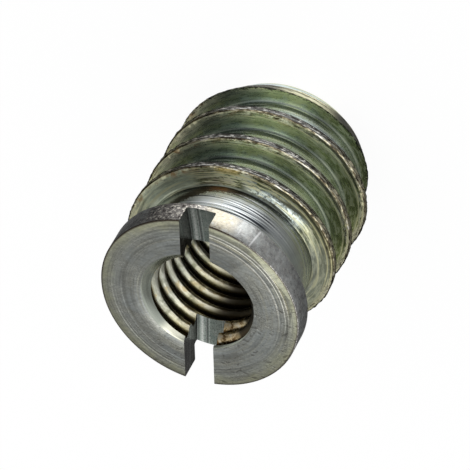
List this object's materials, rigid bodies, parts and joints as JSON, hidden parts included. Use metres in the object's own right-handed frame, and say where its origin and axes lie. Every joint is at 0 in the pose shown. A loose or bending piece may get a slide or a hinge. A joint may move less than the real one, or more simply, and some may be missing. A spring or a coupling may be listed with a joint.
{
  "type": "threaded insert",
  "caption": "Screw-in metal insert: slotted collar, coarse outer wood thread with a lead-in cone, and a through bore for a machine screw.",
  "frame": {"origin": "centre of the entry end's face, on the insert's axis", "axes": "+Z along the axis, from the entry end to the slotted collar; Y along the driver slot, whose deepest place lies towards +Y"},
  "size_m": [0.0144, 0.0144, 0.0172],
  "materials": {
    "zinc_steel": "turned steel, zinc plated, with an olive-yellow passivation and bare torn crests"
  },
  "bodies": {
    "root": {"threaded_insert": "zinc_steel"}
  },
  "joints": []
}
